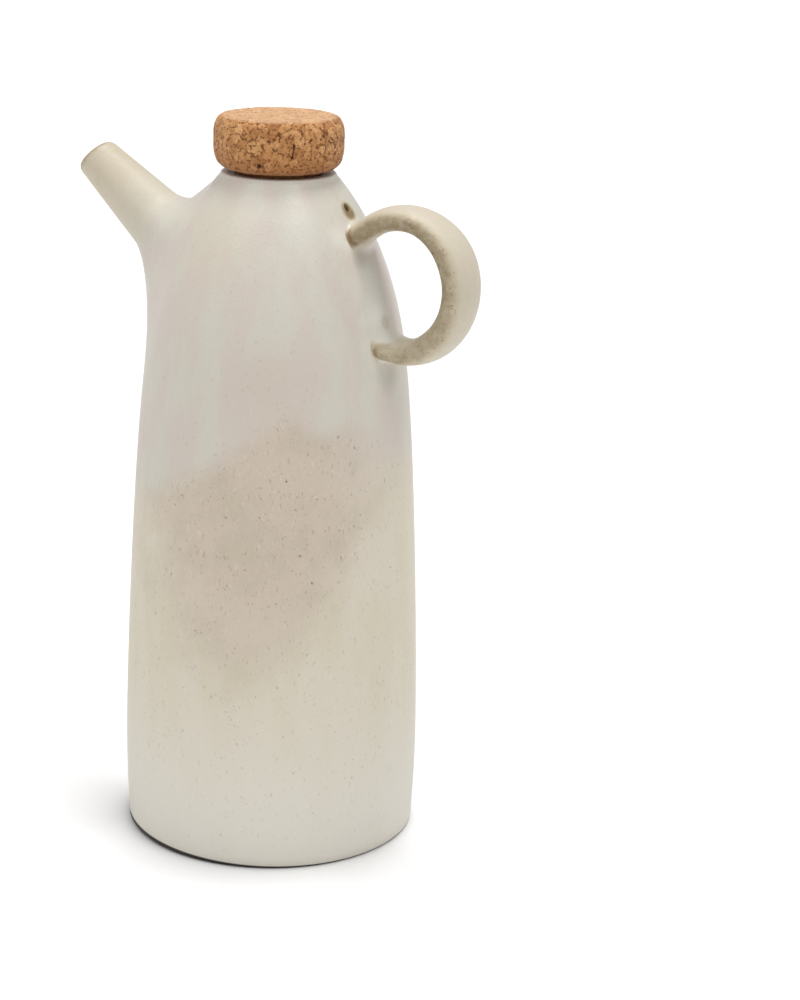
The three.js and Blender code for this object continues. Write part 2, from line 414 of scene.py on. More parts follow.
@dataclass
class Root:
    """How a luted tube runs out over the wall, by values from its top over the far side and the bottom.

    The slip leaves the tube a stretch `back` from the wall and lands `reach` beyond the tube, with bends as
    tight as `soft` and `proud` say. Where `fold` is 1, it meets the neck in a crease. At its edge it runs on
    and dips under the wall's surface.
    """

    wall: ThrownWall
    back: Sides
    reach: Sides
    soft: Sides = (0.67, 0.67, 0.67, 0.67)
    proud: Sides = (0.67, 0.67, 0.67, 0.67)
    fold: Sides = (0.0, 0.0)
    fold_back: float = 11.0
    fold_bend: float = 0.5
    fold_at: float = 0.27
    fold_lift: float = 2.5
    fold_share: float = 0.6
    wobble: float = 0.0
    waves: Pairs = ((3, 1.0), (5, 2.4))
    steps: int = 14
    run: float = 1.0
    dip: float = 0.5

    @staticmethod
    def by_side(values: Sides, angle: float) -> float:
        """Runs through evenly spaced values round the tube, from its top over the far side.

        Args:
            values: The values.
            angle: How far round the tube, in radians.

        Returns:
            The value there.
        """
        place = angle / (2 * math.pi) * len(values)
        i = int(place)
        return mix(values[i], values[(i + 1) % len(values)], smooth(place - i, 0, 1))

    def rings(self, lines: Sequence[tuple[Vector, Vector]], centre: Vector) -> list[list[Vector]]:
        """Rings from the tube to the wall, the last one just under the wall's surface.

        Args:
            lines: A start outside the wall and a direction inwards for each point round the tube.
            centre: Where the tube's axis meets the wall.

        Returns:
            The rings' places, from the tube outwards over the wall.
        """
        columns = []
        for k, (start, along) in enumerate(lines):
            angle = 2 * math.pi * k / len(lines)
            meet = self.wall.hit(start, along)
            normal = self.wall.normal(meet)
            away = meet - centre
            away = (away - normal * away.dot(normal)).normalized()
            uneven = 1 + self.wobble * sum(math.sin(n * angle + shift) for n, shift in self.waves)
            land = self.wall.drop(meet + away * self.by_side(self.reach, angle) * uneven)
            flat = self.wall.normal(land)
            turn = start + along * ((land - start).dot(flat) / along.dot(flat))
            begin = turn - along * self.by_side(self.back, angle)
            leave = begin.lerp(turn, self.by_side(self.soft, angle))
            settle = land.lerp(turn, self.by_side(self.proud, angle))
            curve = bezier([begin, leave, settle, land], self.steps)
            near = turn - along * self.fold_back
            crease = turn.lerp(land, self.fold_at) + flat * self.fold_lift
            share = self.by_side(self.fold, angle)
            curve = [a.lerp(b, share) for a, b in zip(curve, self.folded(near, turn, crease, land))]
            under = land + (land - turn).normalized() * self.run - flat * self.dip
            columns.append(curve + [under])
        return [list(ring) for ring in zip(*columns)]

    def folded(self, near: Vector, turn: Vector, crease: Vector, land: Vector) -> list[Vector]:
        """A line down the tube to a crease and straight on over the wall.

        Args:
            near: Where it leaves the tube.
            turn: Where tube and wall would meet.
            crease: The corner.
            land: Where it ends on the wall.

        Returns:
            As many places as the smooth line has.
        """
        first = round(self.fold_share * self.steps)
        down = bezier([near, near.lerp(turn, self.fold_bend), crease], first)
        return down + bezier([crease, land], self.steps - first)[1:]


@dataclass
class Body(Part):
    """The thrown body: hollow, with a mouth for the cork, a hole behind the spout and an air hole."""

    wall: ThrownWall
    thickness: float = 4.5
    floor: float = 6.0
    floor_corner: float = 7.0
    floor_rings: Sides = (0.6, 0.3)
    base_rings: Sides = (0.3, 0.6, 0.9, 0.985, 1.0)
    mouth_radius: float = 13.0
    mouth_depth: float = 6.0
    mouth_rings: Sides = (0.6, 0.3, 0.0)
    vent_radius: float = 1.2
    vent_round: float = 0.6
    vent_height: float = 195.3
    # Above 1, the thinness deep in the air hole turns its wall near-black: painted shade inside the hole.
    vent_bare_and_shade: float = 2.0
    vent_fade: float = 0.15
    vent_sides: int = 32
    sides: int = 160

    def profile(self) -> list[Vector]:
        """Draws the outline from the base over the rim to the floor inside.

        Returns:
            Its points, as radius and height.
        """
        wall = self.wall
        top, bevel = wall.rim_height, wall.rim_round
        base = [Vector((wall.foot_radius * share, 0, 0)) for share in self.base_rings]
        outer = arc(Vector((wall.rim_radius - bevel, top - bevel, 0)), bevel, bevel, (0, 90), 5)
        inner = arc(Vector((self.mouth_radius + bevel, top - bevel, 0)), bevel, bevel, (90, 180), 5)
        return base + wall.outline + outer[1:] + inner + self.hollow()

    def hollow(self) -> list[Vector]:
        """Draws the inside, from the mouth down to the floor.

        Returns:
            Its points, as radius and height.
        """
        seat = self.wall.rim_height - self.mouth_depth
        neck = [Vector((self.mouth_radius, seat + self.mouth_depth * s, 0)) for s in self.mouth_rings]
        corner = self.floor + self.floor_corner
        side = []
        for here in self.wall.outline[::-2]:
            normal = self.wall.normal(Vector((here.x, 0, here.y)))
            inner = Vector((here.x - normal.x * self.thickness, here.y - normal.z * self.thickness, 0))
            if corner < inner.y < seat and inner.x > self.mouth_radius:
                side.append(inner)
        low = side[-1].x
        middle = Vector((low - self.floor_corner, corner, 0))
        bend = arc(middle, self.floor_corner, self.floor_corner, (0, -90), 8)
        flat = [Vector((low * share, self.floor, 0)) for share in self.floor_rings]
        return neck + side + bend + flat

    def vent(self) -> bpy.types.Object:
        """Makes the drill of the air hole, with a mouth that rounds the edge of the glaze.

        Returns:
            The drill.
        """
        place = Vector((self.wall.radius(self.vent_height), 0, self.vent_height))
        turn = self.wall.normal(place).to_track_quat("Z", "Y").to_matrix()
        middle = Vector((self.vent_radius + self.vent_round, -self.vent_round, 0))
        edge = arc(middle, self.vent_round, self.vent_round, (180, 115), 6)
        deep = Vector((self.vent_radius, -2 * self.thickness, 0))
        rise = Vector((edge[-1].x + 2 * self.vent_round, edge[-1].y + self.vent_round, 0))
        bare = []
        for i, point in enumerate([deep] + edge + [rise]):
            bare.append(Vector((point.x, point.y, self.vent_bare_and_shade - self.vent_fade * i)))
        rings = []
        for ring in turned(bare, self.vent_sides):
            rings.append([Spot(place + turn @ s.place, s.thin) for s in ring])
        return extrude_rings("air_hole_drill", rings, Ending.CAPPED)

    def build(self, spout_hole: bpy.types.Object) -> bpy.types.Object:
        """Turns the body and drills its holes.

        Args:
            spout_hole: The drill of the hole behind the spout.

        Returns:
            The body.
        """
        piece = extrude_rings("thrown_body", turned(self.profile(), self.sides), Ending.CAPPED)
        cut(piece, spout_hole)
        cut(piece, self.vent())
        return piece


@dataclass
class Spout(Part):
    """The tapered spout with its round lip, spread over the wall that it is luted to."""

    wall: ThrownWall
    rise: float = math.radians(38.5)
    axis_height: float = 151.9
    length: float = 41.4
    tip_radius: float = 6.7
    tip_bore: float = 4.0
    lip_in: float = 0.9
    lip_round: float = 3.0
    lip_slant: float = 0.5
    neck_radius: float = 9.3
    neck_out: float = 15.0
    root_bore: float = 7.5
    bore_out: float = 6.0
    bore_rings: Sides = (0.0, 0.2, 0.4, 0.6, 0.8, 0.95)
    tube_rings: Sides = (0.05, 0.12, 0.2, 0.35, 0.5, 0.65, 0.8, 0.92)
    tip_thin: float = 0.3
    lip_thin: float = 0.3
    tube_fade: float = 0.3
    root_fade: int = 14
    sides: int = 72
    out: Vector = field(init=False)
    up: Vector = field(init=False)
    entry: Vector = field(init=False)

    def __post_init__(self) -> None:
        """Sets up the axis, measured from the wall outwards."""
        self.out = Vector((-math.cos(self.rise), 0, math.sin(self.rise)))
        self.up = Vector((math.sin(self.rise), 0, math.cos(self.rise)))
        middle = Vector((0, 0, self.axis_height))
        self.entry = self.wall.hit(middle + self.out * OUTSIDE, -self.out)

    def ring(self, along: float, radius: float, thin: float = 0.0) -> list[Spot]:
        """A ring round the axis, counted from the top over the far side.

        Args:
            along: How far out from the wall it lies.
            radius: Its radius.
            thin: How thin the glaze lies on it.

        Returns:
            Its spots.
        """
        made = []
        slant = self.lip_slant * smooth(along, self.length - 3 * self.lip_round, self.length)
        for k in range(self.sides):
            angle = 2 * math.pi * k / self.sides
            side = self.up * math.cos(angle) + Vector((0, math.sin(angle), 0))
            out = along - slant * (1 + math.cos(angle))
            made.append(Spot(self.entry + self.out * out + side * radius, thin))
        return made

    def hole(self) -> bpy.types.Object:
        """The drill of the hole through the wall."""
        rings = [self.ring(along, self.root_bore) for along in (-3 * self.root_bore, 2 * self.root_bore)]
        return extrude_rings("spout_hole_drill", rings, Ending.CAPPED)

    def bore(self) -> list[list[Spot]]:
        """Lays out the bore, from the wall to the lip.

        Returns:
            Its rings.
        """
        tip = self.ring(self.length, self.root_bore)
        rings = [[Spot(self.wall.hit(s.place, -self.out) - self.out) for s in tip]]
        for share in self.bore_rings:
            along = mix(self.bore_out, self.length - self.lip_in, share)
            rings.append(self.ring(along, mix(self.root_bore, self.tip_bore, share)))
        return rings

    def lip(self) -> list[list[Spot]]:
        """Lays out the lip, where the glaze breaks, from the bore to the tube.

        Returns:
            Its rings.
        """
        crest = self.tip_bore + self.lip_in
        inner = arc(Vector((crest, self.length - self.lip_in, 0)), self.lip_in, self.lip_in, (180, 90), 6)
        start = Vector((crest, self.length - self.lip_round, 0))
        outer = arc(start, self.tip_radius - crest, self.lip_round, (90, 0), 12)
        rings = []
        for i, point in enumerate(inner + outer[1:]):
            thin = smooth(i, 1, 5) * (1 - smooth(i, 10, 17))
            rings.append(self.ring(point.y, point.x, self.tip_thin + self.lip_thin * thin))
        return rings

    def build(self) -> bpy.types.Object:
        """Extrudes the bore, the lip, the tube and the spread root.

        Returns:
            The spout.
        """
        rings = self.bore() + self.lip()
        start = self.length - self.lip_round
        slope = (self.neck_radius - self.tip_radius) / (start - self.neck_out)
        ends = self.ring(0, self.tip_radius + slope * start)
        lines = [(a.place, (b.place - a.place).normalized()) for a, b in zip(rings[-1], ends)]
        spread = Root(
            self.wall,
            back=(13.5, 11.5, 10.0, 10.5, 11.5, 11.0, 11.0, 13.0),
            reach=(16.2, 14.0, 15.0, 26.0, 38.0, 29.0, 16.5, 16.0),
            soft=(0.42, 0.48, 0.62, 0.7, 0.72, 0.7, 0.55, 0.42),
            proud=(1.0, 0.9, 0.8, 0.83, 0.9, 0.87, 0.88, 0.96),
            fold=(1.0, 0.6, 0.0, 0.0, 0.0, 0.0, 0.0, 0.7),
            wobble=0.02,
            steps=20,
            run=2.4,
            dip=0.3,
        ).rings(lines, self.entry)
        for share in self.tube_rings:
            thin = self.tip_thin * (1 - self.tube_fade * smooth(share, 0.1, 1.0))
            rings.append([Spot(a.lerp(b, share), thin) for (a, _), b in zip(lines, spread[0])])
        for i, ring in enumerate(spread):
            thin = self.tip_thin * (1 - self.tube_fade) * (1 - smooth(i, 0, self.root_fade))
            rings.append([Spot(place, thin) for place in ring])
        return extrude_rings("luted_spout", rings, Ending.JOINED)


@dataclass
class Handle(Part):
    """The pulled strap, bent into an ear and luted on at two roots."""

    wall: ThrownWall
    mid_drop: float = 29.0
    crest_height: float = 19.4
    foot_height: float = 20.0
    reach: float = 27.4
    bow: float = 18.0
    root_drop: float = 18.2
    foot_drop: float = -2.3
    sink: float = 3.5
    thick: Sides = (6.6, 7.3, 9.0, 9.0, 5.4)
    width: Sides = (12.0, 15.0, 17.0, 17.6, 18.0)
    blunt: Sides = (0.9, 0.9, 0.9, 0.9, 0.95)
    flat_thin: float = 0.25
    edge_thin: Sides = (0.46, 0.42, 0.38, 0.31, 0.3)
    edge_lean: Sides = (0.2, 0.25, 0.45, 0.15, -0.25)
    # How tan the near end of the upper and the lower root turns: partly glaze breaking, partly painted shade.
    root_thin_and_shade: tuple[float, float] = (0.7, 0.4)
    root_fade: float = 0.85
    inner_fade: float = 0.5
    first: float = 0.10
    last: float = 0.905
    sides: int = 48
    steps: int = 72
    bend_steps: int = 40
    bow_steps: int = 60
    foot_steps: int = 12
    root_steps: int = 12

    def path(self) -> list[Vector]:
        """Draws the middle line of the strap, from the upper root to the lower one.

        Returns:
            Its points.
        """
        centre = self.wall.rim_height - self.mid_drop
        middle = Vector((self.wall.radius(centre) + self.reach - self.bow, 0, centre))
        crest = middle + Vector((0, 0, self.crest_height))
        start = self.wall.rim_height - self.root_drop
        root = self.wall.radius(start)
        begin = Vector((root - self.sink, 0, start - self.sink / 2))
        bend = Vector(((root + middle.x) / 2 - self.sink, 0, crest.z))
        line = bezier([begin, bend, crest], self.bend_steps)
        for high, turn in ((self.crest_height, (90, 0)), (self.foot_height, (0, -90))):
            for point in arc(Vector(), self.bow, high, turn, self.bow_steps)[1:]:
                line.append(middle + Vector((point.x, 0, point.y)))
        foot = centre - self.foot_height - self.foot_drop
        end = Vector((self.wall.radius(foot) - self.sink, 0, foot))
        return line + [line[-1].lerp(end, i / self.foot_steps) for i in range(1, self.foot_steps + 1)]

    def along(self, line: Sequence[Vector], share: float) -> tuple[Vector, Vector]:
        """A place on the middle line and the direction there.

        Args:
            line: The middle line.
            share: How far along it, from 0 to 1.

        Returns:
            The place and the direction.
        """
        lengths = np.cumsum([0.0] + [(b - a).length for a, b in zip(line, line[1:])])
        want = share * lengths[-1]
        i = min(max(int(np.searchsorted(lengths, want)), 1), len(line) - 1)
        part = (want - lengths[i - 1]) / (lengths[i] - lengths[i - 1])
        before, after = line[max(i - 3, 0)], line[min(i + 2, len(line) - 1)]
        return line[i - 1].lerp(line[i], part), (after - before).normalized()

    def ring(self, line: Sequence[Vector], share: float) -> list[Vector]:
        """The places round the strap, counted from its outer face over the far side.

        Args:
            line: The middle line.
            share: How far along it, from 0 to 1.

        Returns:
            The places.
        """
        place, along = self.along(line, share)
        out = Vector((-along.z, 0, along.x)) * stations(self.thick, share) / 2
        far = Vector((0, stations(self.width, share) / 2, 0))
        blunt = stations(self.blunt, share)
        made = []
        for k in range(self.sides):
            angle = 2 * math.pi * k / self.sides
            across, side = (math.copysign(abs(v) ** blunt, v) for v in (math.cos(angle), math.sin(angle)))
            made.append(place + out * across + far * side)
        return made

    def thin(self, k: int, share: float) -> float:
        """How thin the glaze lies round the strap: it breaks over both edges of the strap.

        Args:
            k: The point round the strap.
            share: How far along the strap.

        Returns:
            From 0 to 1.
        """
        angle = 2 * math.pi * k / self.sides
        inside, side = -math.cos(angle), abs(math.sin(angle))
        edge = smooth(side + stations(self.edge_lean, share) * inside, 0.4, 1.1)
        return self.flat_thin + stations(self.edge_thin, share) * edge

    def build(self) -> bpy.types.Object:
        """Extrudes the strap from root to root.

        Returns:
            The handle.
        """
        line = self.path()
        roots = []
        for end, inward, back, reach in (
            (self.first, -1, (4.0, 3.0, 4.0, 1.6), (2.4, 2.4, 3.2, 0.6)),
            (self.last, 1, (3.2, 2.6, 5.0, 1.6), (1.6, 2.0, 5.0, 0.6)),
        ):
            place, along = self.along(line, end)
            lines = [(p, along * inward) for p in self.ring(line, end)]
            blend = Root(self.wall, back=back, reach=reach, wobble=0.08, steps=self.root_steps)
            roots.append(self.fade(blend.rings(lines, self.wall.hit(place, along * inward)), end))
        skin = roots[0][::-1]
        for i in range(1, self.steps):
            share = mix(self.first, self.last, i / self.steps)
            skin.append([Spot(p, self.thin(k, share)) for k, p in enumerate(self.ring(line, share))])
        return extrude_rings("strap_handle", skin + roots[1], Ending.CAPPED)

    def fade(self, rings: Sequence[Sequence[Vector]], share: float) -> list[list[Spot]]:
        """Lets the glaze grow to its full thickness on the way from the strap to the wall, and turns the near
        end of each root tan, partly as painted shade.

        Args:
            rings: The places from the strap outwards.
            share: Where on the strap they begin.

        Returns:
            The same places with the thinness of the glaze.
        """
        made = []
        for i, ring in enumerate(rings):
            along = i / (len(rings) - 1)
            row = []
            for k, place in enumerate(ring):
                angle = 2 * math.pi * k / self.sides
                near = smooth(-math.sin(angle), 0.5, 1.0)
                full = self.root_fade - self.inner_fade * smooth(-math.cos(angle), 0.2, 0.9) * share
                thin = self.thin(k, share) * (1 - smooth(along, 0, full))
                # The near end of each root goes tan: partly the glaze breaking there, partly painted shade
                # under the root's end.
                near_end_tan_and_shade = mix(*self.root_thin_and_shade, share) * near * smooth(along, 0, 0.5)
                row.append(Spot(place, thin + near_end_tan_and_shade))
            made.append(row)
        return made


@dataclass
class Cork(Part):
    """The turned stopper of pressed cork granules."""

    rim_height: float
    gap: float = 1.0
    head_radius: float = 19.3
    head_height: float = 15.7
    seat_radius: float = 15.2
    lower_round: float = 6.0
    crown_radius: float = 16.0
    crown_rings: int = 15
    upper_round: float = 4.6
    shank_radius: float = 12.7
    shank_length: float = 20.0
    shank_taper: float = 1.2
    shank_straight: float = 6.0
    end_rings: Sides = (0.25, 0.5, 0.75, 0.93)
    under_rings: Sides = (0.15, 0.6)
    granule: float = 2.5
    crowd: float = 1.4
    seed: int = 7
    bends: Pairs = ((1.6, 0.5), (0.6, 0.22))
    patchy: float = 1.2
    pit: float = 0.6
    grain_pit: float = 0.3
    knot: tuple[float, float, float] = (3.6, -18.4, 208.0)
    sides: int = 112

    @property
    def seat(self) -> float:
        """The height of the underside of the head."""
        return self.rim_height + self.gap

    @property
    def top(self) -> float:
        """The height of the crown."""
        return self.seat + self.head_height

    def profile(self) -> list[Vector]:
        """Draws the outline from the end of the shank to the middle of the crown.

        Returns:
            Its points, as radius and height.
        """
        seat, top, low = self.seat, self.top, self.seat - self.shank_length
        thin = self.shank_radius - self.shank_taper
        end = [Vector((thin * share, low, 0)) for share in self.end_rings]
        knee = Vector((self.shank_radius, seat - self.shank_straight, 0))
        neck = Vector((self.shank_radius, seat - 0.5, 0))
        shank = bezier([Vector((thin, low + 1, 0)), knee], 7) + bezier([knee, neck], 3)[1:]
        under = [Vector((mix(self.shank_radius, self.seat_radius, s), seat, 0)) for s in self.under_rings]
        wide = self.head_radius
        lower_middle = Vector((self.seat_radius, seat + self.lower_round, 0))
        upper_middle = Vector((self.crown_radius, top - self.upper_round, 0))
        lower = arc(lower_middle, wide - self.seat_radius, self.lower_round, (-90, 0), 8)
        upper = arc(upper_middle, wide - self.crown_radius, self.upper_round, (0, 90), 7)
        side = bezier([lower[-1], upper[0]], 6)[1:-1]
        shares = [1 - i / self.crown_rings for i in range(1, self.crown_rings)]
        crown = [Vector((self.crown_radius * share, top, 0)) for share in shares]
        return end + shank + under + lower + side + upper + crown

    def granules(self, piece: bpy.types.Object) -> tuple[np.ndarray, np.ndarray]:
        """Works out which granule each point of the cork belongs to, and the gaps between them.

        Args:
            piece: The cork.

        Returns:
            A chance height for each point's granule, and how deep it lies in a gap, both from 0 to 1.
        """
        chance = np.random.default_rng(self.seed)
        noise.seed_set(self.seed)
        low = np.array((-self.head_radius, -self.head_radius, self.rim_height - self.shank_length))
        high = np.array((self.head_radius, self.head_radius, self.rim_height + self.head_height))
        low, high = low - self.granule, high + self.granule
        count = int(np.prod((high - low) / self.granule) * self.crowd)
        seeds = chance.uniform(low, high, (count, 3))
        heights, loose = chance.uniform(0, 1, count), chance.uniform(0, 1, count)
        tree = KDTree(count)
        for i, seed in enumerate(seeds):
            tree.insert(seed, i)
        tree.balance()
        level, depth = np.zeros((2, len(piece.data.vertices)))
        knot = Vector(self.knot)
        for i, vert in enumerate(piece.data.vertices):
            here = bent = vert.co / MM
            for size, amount in self.bends:
                bent = bent + noise.noise_vector(here / size) * amount
            (_, a, first), (_, b, _), (_, c, third) = tree.find_n(bent, 3)
            level[i] = heights[a]
            part = noise.noise(here / self.patchy)
            opened = smooth((loose[a] + loose[b] + loose[c]) / 3 + 0.1 * part, 0.56, 0.66)
            rubbed = 1 - 0.8 * smooth(here.z, self.top - 1, self.top - 0.2)
            depth[i] = (1 - smooth(third - first, 0.04, 0.24)) * opened * rubbed
            depth[i] = max(depth[i], 1 - smooth((bent - knot).length, 0.3, 1.1))
        return level, depth

    def build(self) -> bpy.types.Object:
        """Turns the cork, then sinks the gaps between its granules.

        Returns:
            The cork.
        """
        piece = extrude_rings("turned_cork", turned(self.profile(), self.sides), Ending.CAPPED)
        finish_with(piece, "SUBSURF", levels=2, render_levels=2)
        level, depth = self.granules(piece)
        gaps = piece.data.attributes.new(GAP, "FLOAT", "POINT")
        gaps.data.foreach_set("value", depth.astype(np.float32))
        group = piece.vertex_groups.new(name=GAP)
        for i, value in enumerate(np.maximum(depth, self.grain_pit * level)):
            group.add([i], float(value), "REPLACE")
        finish_with(piece, "DISPLACE", vertex_group=GAP, strength=-self.pit * MM, mid_level=0.0)
        bpy.ops.object.shade_smooth()
        return piece


@dataclass(frozen=True)
class Patch:
    """A round place on the wall where the glaze ran thin, or pooled and took another tint, or where light or
    shade is painted in as a tint.
    """

    turn: float
    height: float
    size: float
    depth: float
    tint: str = "e4e1d7"


@dataclass(frozen=True)
class Ground:
    """The nodes that the coats of glaze are laid out by, in millimetres."""

    tree: bpy.types.NodeTree
    place: bpy.types.Node
    across: bpy.types.Node
    height: bpy.types.NodeSocket
    drift: bpy.types.Node
    cloud: bpy.types.Node


@dataclass(frozen=True)
class StonewareGlaze:
    """Satin stoneware glaze in two coats: mottled, streaked and speckled, ochre where it runs thin."""

    name: str
    wall: ThrownWall
    cream: str = "d1c9b8"
    pink: str = "c6b8a8"
    pale: str = "c8c4b7"
    rosy: str = "c8beb4"
    straw: str = "c2b79f"
    ochre: str = "7f6a47"
    butter: str = "cec6b1"
    chalk: str = "d6d1c6"
    dusk: str = "beb19f"
    # Near-black: the unglazed foot and the deep inside of the air hole, painted as the shadow under the foot
    # and the shade inside the hole.
    unglazed_and_shade: str = "261a12"
    speck: str = "7a6249"
    iron: str = "6f5230"
    grain: float = 2.5
    fleck: float = 0.8
    drift: float = 16.0
    push: float = 8.0
    cloud_width: float = 9.0
    cloud_height: float = 34.0
    wander: float = 5.0
    thick: float = 22.0
    stains: tuple[Patch, ...] = (Patch(-1, 194.3, 4.4, 0.8), Patch(-1, 163.0, 3.6, 0.22))
    # Round tints: the two pale ones at the roots are glaze gathered there and partly painted light where the
    # handle shades the wall; a warmer tint high on the shoulder towards the spout; painted light on the wall
    # inside the handle and over the lower root; painted shadow under the upper root and under the lower root.
    pools_and_painted_shading: tuple[Patch, ...] = (
        Patch(-17, 187.0, 8.0, 0.6),
        Patch(-9, 159.0, 11.0, 0.8),
        Patch(-105, 187.0, 22.0, 0.5, "c8beaa"),
        Patch(-8, 173.0, 14.0, 0.7, "dcdad1"),
        Patch(-6, 165.0, 9.0, 0.9, "efede5"),
        Patch(-9, 182.0, 5.0, 0.45, "a59e8e"),
        Patch(-2, 147.0, 8.0, 0.5, "a39f8f"),
    )
    bloom: tuple[float, float, float] = (16.4, -35.7, 147.0)
    hem: Pairs = (
        (-45, 106), (-34, 113), (-28, 117), (-16, 124), (-8, 131), (0, 136.5), (5, 138.5), (7.5, 137.5),
        (9.5, 135.5), (14, 134.5), (19, 135.5), (21.5, 138), (26, 135.5), (31, 130), (39, 122), (45, 118),
    )
    hem_low: float = 70.0
    hem_rise: float = 100.0
    flush: Pairs = (
        (30, 0), (48, 1), (62, 11), (74, 21), (86, 27), (95, 30), (110, 33), (122, 30), (135, 20), (150, 8),
        (165, 0),
    )
    flush_wide: float = 50.0

    def material(self) -> bpy.types.Material:
        """Makes the material.

        Returns:
            The material.
        """
        # Feldspar glaze, dipped twice over buff stoneware and fired to a satin: a broad soft highlight,
        # milk-white where it gathers, tan where it breaks over an edge, and flecked with iron. Some round
        # tints near the handle are painted light and painted shadow, and the foot and the deep inside of the
        # air hole are painted near-black as shade. The real flecks are about 0.4 mm, and are drawn twice as
        # coarse so that they show, as are the fine pits that break the highlight.
        made, place = start_material(self.name)
        tree = made.node_tree
        grain = {"Vector": place, "Scale": 1 / self.grain, "Detail": 6.0, "Roughness": 0.7}
        grain = add_node(tree, "TexNoise", grain)
        thin = self.thinness(tree, place, grain)
        fair = add_node(tree, "MapRange", (thin, 0.04, 0.4), **SOFT)
        straw = {SHARE: fair, UNDER: self.coats(tree, place), OVER: linear(self.straw)}
        colour = self.broken(tree, place, thin, add_node(tree, "Mix", straw, **COLOURS))
        # Painted shadow: below about 1.5 mm the unglazed foot turns near-black as the contact shadow on the
        # table, a little thicker on one side by the tilt; deep in the air hole, where the thinness rises
        # above 1, the same colour is painted shade.
        tilt = add_node(tree, "Mapping", {"Vector": place, "Rotation": (0, -0.03, 0)})
        height = add_node(tree, "SeparateXYZ", (tilt,)).outputs["Z"]
        foot = add_node(tree, "MapRange", (height, 1.7, 1.4))
        hole_unglazed_and_shade = add_node(tree, "MapRange", (thin, 1.0, 1.5), **SOFT)
        bare = add_node(tree, "Math", (foot, hole_unglazed_and_shade), operation="MAXIMUM")
        colour = add_node(tree, "Mix", {SHARE: bare, UNDER: colour, OVER: linear(self.unglazed_and_shade)}, **COLOURS)
        pits = add_node(tree, "TexNoise", {"Vector": place, "Scale": 1 / self.fleck, "Detail": 2.0})
        bump = add_node(tree, "Bump", {"Strength": 0.5, "Distance": 0.16 * MM, "Height": pits})
        rough = add_node(tree, "MapRange", (grain, 0.3, 0.7, 0.48, 0.6))
        glassy = add_node(tree, "MapRange", (height, 125.0, 180.0))
        glassy = add_node(tree, "Math", (fair, -3.0, glassy), operation="MULTIPLY_ADD", use_clamp=True)
        rough = add_node(tree, "Math", (glassy, -0.22, rough), operation="MULTIPLY_ADD")
        shader = {"Base Color": colour, "Roughness": rough, "Normal": bump}
        add_node(tree, "OutputMaterial", {"Surface": add_node(tree, "BsdfPrincipled", shader)})
        return made

    def thinness(
        self, tree: bpy.types.NodeTree, place: bpy.types.Node, grain: bpy.types.Node
    ) -> bpy.types.Node:
        """Finds where the glaze runs thin, from the piece's own attribute and the stains.

        Args:
            tree: The material's nodes.
            place: The place on the bottle in millimetres.
            grain: A fine noise that breaks up the edge.

        Returns:
            The node that gives the thinness.
        """
        thin = add_node(tree, "Attribute", attribute_name=THIN).outputs["Fac"]
        for stain in self.stains:
            middle = self.wall.spot(stain.turn, stain.height)
            away = add_node(tree, "VectorMath", (place, middle), operation="DISTANCE").outputs["Value"]
            mark = (away, stain.size, 0.35 * stain.size, 0.0, stain.depth)
            mark = add_node(tree, "MapRange", mark, **SOFT)
            thin = add_node(tree, "Math", (thin, mark), operation="MAXIMUM")
        uneven = add_node(tree, "MapRange", (grain, 0.3, 0.7, 0.8, 1.2))
        return add_node(tree, "Math", (thin, uneven), operation="MULTIPLY")

    def broken(
        self, tree: bpy.types.NodeTree, place: bpy.types.Node, thin: bpy.types.Node, colour: bpy.types.Node
    ) -> bpy.types.Node:
        """Lets ochre and flecks of iron through where the glaze breaks.

        Args:
            tree: The material's nodes.
            place: The place on the bottle in millimetres.
            thin: How thin the glaze lies.
            colour: The colour of the coats.

        Returns:
            The node that gives the colour.
        """
        bare = add_node(tree, "MapRange", (thin, 0.25, 0.9), **SOFT)
        colour = add_node(tree, "Mix", {SHARE: bare, UNDER: colour, OVER: linear(self.ochre)}, **COLOURS)
        breaking = add_node(tree, "MapRange", (thin, 0.3, 0.5), **SOFT)
        fleck = add_node(tree, "TexNoise", {"Vector": place, "Scale": 1 / self.fleck, "Detail": 2.0})
        fleck = add_node(tree, "MapRange", (fleck, 0.62, 0.72, 0.0, 0.75))
        fleck = add_node(tree, "Math", (fleck, breaking), operation="MULTIPLY")
        return add_node(tree, "Mix", {SHARE: fleck, UNDER: colour, OVER: linear(self.iron)}, **COLOURS)

    def coats(self, tree: bpy.types.NodeTree, place: bpy.types.Node) -> bpy.types.Node:
        """Lays the two coats of glaze, with their drifting edge, mottling, round tints and specks; some tints
        are painted light and painted shadow.

        Args:
            tree: The material's nodes.
            place: The place on the bottle in millimetres.

        Returns:
            The node that gives the colour.
        """
        front = add_node(tree, "Mapping", {"Vector": place, "Rotation": (0, 0, -FRONT)})
        part = add_node(tree, "SeparateXYZ", (front,)).outputs
        drift = {"Vector": place, "Scale": 1 / self.drift, "Detail": 6.0, "Roughness": 0.62}
        drift = add_node(tree, "TexNoise", drift)
        across = add_node(tree, "Math", (drift, self.push, part["X"]), operation="MULTIPLY_ADD")
        stretch = (1 / self.cloud_width, 1 / self.cloud_width, 1 / self.cloud_height)
        tall = add_node(tree, "Mapping", {"Vector": place, "Scale": stretch})
        cloud = add_node(tree, "TexNoise", {"Vector": tall, "Scale": 1.0, "Detail": 4.0})
        cloud = add_node(tree, "MapRange", (cloud, 0.4, 0.6), **SOFT)
        ground = Ground(tree, place, across, part["Z"], drift, cloud)
        upper, blush = self.hem_share(ground), self.flush_share(ground)
        layers = {SHARE: upper, UNDER: self.lower_coat(ground, blush), OVER: self.upper_coat(ground)}
        colour = add_node(tree, "Mix", layers, **COLOURS)
        mean = self.push / 2
